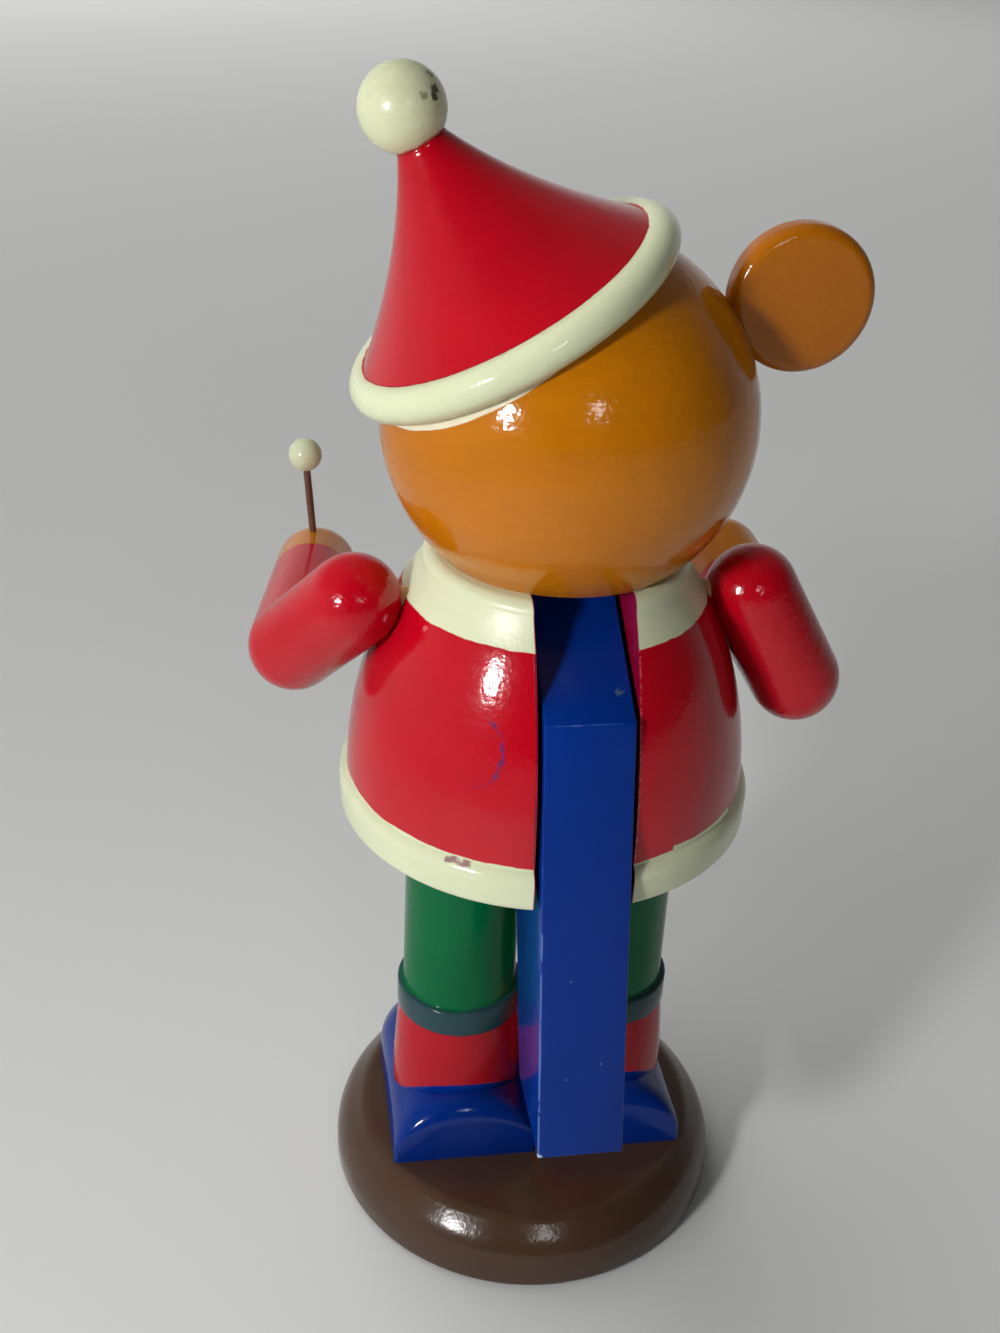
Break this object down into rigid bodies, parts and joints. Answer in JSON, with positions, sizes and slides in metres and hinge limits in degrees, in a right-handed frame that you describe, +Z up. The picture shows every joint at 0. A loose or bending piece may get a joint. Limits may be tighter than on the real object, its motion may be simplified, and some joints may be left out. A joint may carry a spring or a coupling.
{
  "type": "bear nutcracker",
  "caption": "Turned and painted wooden bear in coat and leaning cone hat on a round base, with a rear lever on a cross pin that works the jaw.",
  "frame": {"origin": "middle of the round base's flat underside", "axes": "+Z up the figure, the bear faces -Y, +X towards the bear's left hand"},
  "size_m": [0.1488, 0.1413, 0.3049],
  "materials": {
    "brown_enamel": "dark brown gloss enamel over turned wood",
    "blue_enamel": "blue gloss enamel over wood, worn pale along one edge",
    "leg_enamel": "green gloss enamel over a red boot and a dark teal cuff band",
    "coat_enamel": "red gloss enamel with cream hem and collar bands",
    "red_enamel": "red gloss enamel over turned wood",
    "cream_enamel": "pale cream gloss enamel, chipped in places",
    "bear_enamel": "orange-brown gloss enamel, thinly brushed",
    "black_enamel": "black gloss enamel",
    "stained_stick": "brown stained hardwood rod",
    "bare_wood": "bare beech dowel",
    "steel": "plain steel pin"
  },
  "bodies": {
    "figure": {"base": "brown_enamel", "left_shoe": "blue_enamel", "left_ankle_dowel": "bare_wood", "left_leg": "leg_enamel", "left_hip_dowel": "bare_wood", "left_neck_dowel": "bare_wood", "right_shoe": "blue_enamel", "right_ankle_dowel": "bare_wood", "right_leg": "leg_enamel", "right_hip_dowel": "bare_wood", "right_neck_dowel": "bare_wood", "coat_body": "coat_enamel", "pivot_pin": "steel", "pin_plug": "coat_enamel", "left_shoulder_dowel": "bare_wood", "left_upper_arm": "red_enamel", "left_elbow_dowel": "bare_wood", "left_forearm": "red_enamel", "drumstick": "stained_stick", "drumstick_ball": "cream_enamel", "right_shoulder_dowel": "bare_wood", "right_upper_arm": "red_enamel", "right_elbow_dowel": "bare_wood", "right_forearm": "red_enamel", "head": "bear_enamel", "muzzle_dowel": "bare_wood", "muzzle": "bear_enamel", "nose": "black_enamel", "left_eye": "black_enamel", "right_eye": "black_enamel", "ear_dowel": "bare_wood", "right_ear": "bear_enamel", "hat_dowel": "bare_wood", "hat_cone": "red_enamel", "hat_brim": "cream_enamel", "pompom_dowel": "bare_wood", "pompom": "cream_enamel"},
    "lever": {"lever": "blue_enamel"}
  },
  "joints": [
    {"name": "jaw_lever_hinge", "type": "hinge", "parent": "figure", "child": "lever", "pos_m": [0, 0.0022, 0.1732], "axis": [1, 0, 0], "range_deg": [0, 25]}
  ]
}
